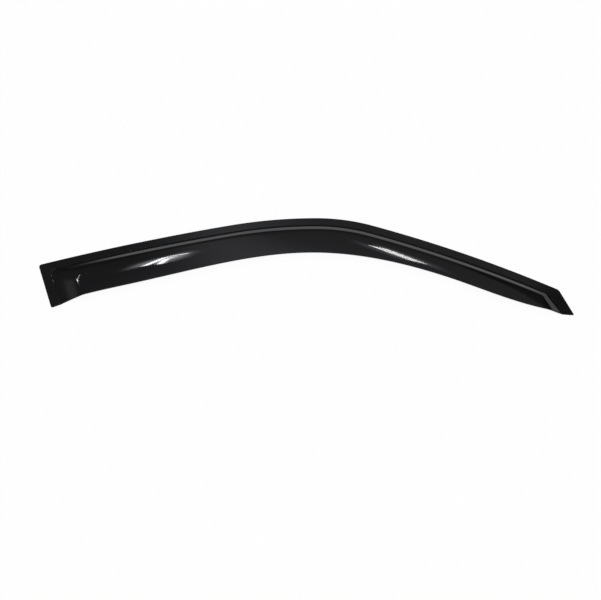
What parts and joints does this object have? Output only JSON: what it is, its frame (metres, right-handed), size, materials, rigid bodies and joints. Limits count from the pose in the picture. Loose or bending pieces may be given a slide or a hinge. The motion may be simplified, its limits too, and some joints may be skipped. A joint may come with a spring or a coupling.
{
  "type": "window rain deflector",
  "caption": "Long arched gloss-black acrylic shell with a flat rim flange, sloped wall and crowned blade; stuck along a car door frame, it keeps rain and wind out of a window left ajar.",
  "frame": {"origin": "under the middle of the outline, in the plane of the flange's back face", "axes": "+X forward to the windscreen pillar tip, +Y up to the edge that follows the door frame, +Z outward from the car"},
  "size_m": [0.8926, 0.175, 0.0175],
  "materials": {
    "smoked_acrylic": "gloss, very dark smoked acrylic that reads as black"
  },
  "bodies": {
    "root": {"deflector_shell": "smoked_acrylic"}
  },
  "joints": []
}
